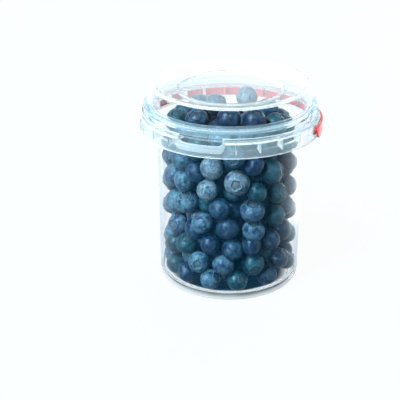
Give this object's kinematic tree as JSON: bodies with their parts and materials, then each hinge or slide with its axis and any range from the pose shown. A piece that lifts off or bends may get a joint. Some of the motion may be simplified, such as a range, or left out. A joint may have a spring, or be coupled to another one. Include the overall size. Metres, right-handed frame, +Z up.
{
  "type": "punnet of blueberries",
  "caption": "Clear round plastic tub full of blueberries, with a press-on domed lid, a guard collar with a pull notch, and a red bail handle folded back.",
  "frame": {"origin": "on the tub's axis, in the plane that its foot ring stands on", "axes": "+Z up along the tub's axis; +X along the handle's pivots; -Y the front, where the collar has its pull notch"},
  "size_m": [0.1212, 0.1192, 0.136],
  "materials": {
    "clear_plastic": "clear polypropylene, glossy, faintly milky where it is thick",
    "red_plastic": "moulded red polypropylene, satin gloss",
    "berry_skin": "dark blue fruit skin under a pale waxy bloom"
  },
  "bodies": {
    "tub": {"tub": "clear_plastic", "lid": "clear_plastic", "blueberries": "berry_skin"},
    "handle": {"handle": "red_plastic"}
  },
  "joints": [
    {"name": "handle_swing", "type": "hinge", "parent": "tub", "child": "handle", "pos_m": [0, 0, 0.1094], "axis": [1, 0, 0], "range_deg": [0, 180]}
  ]
}
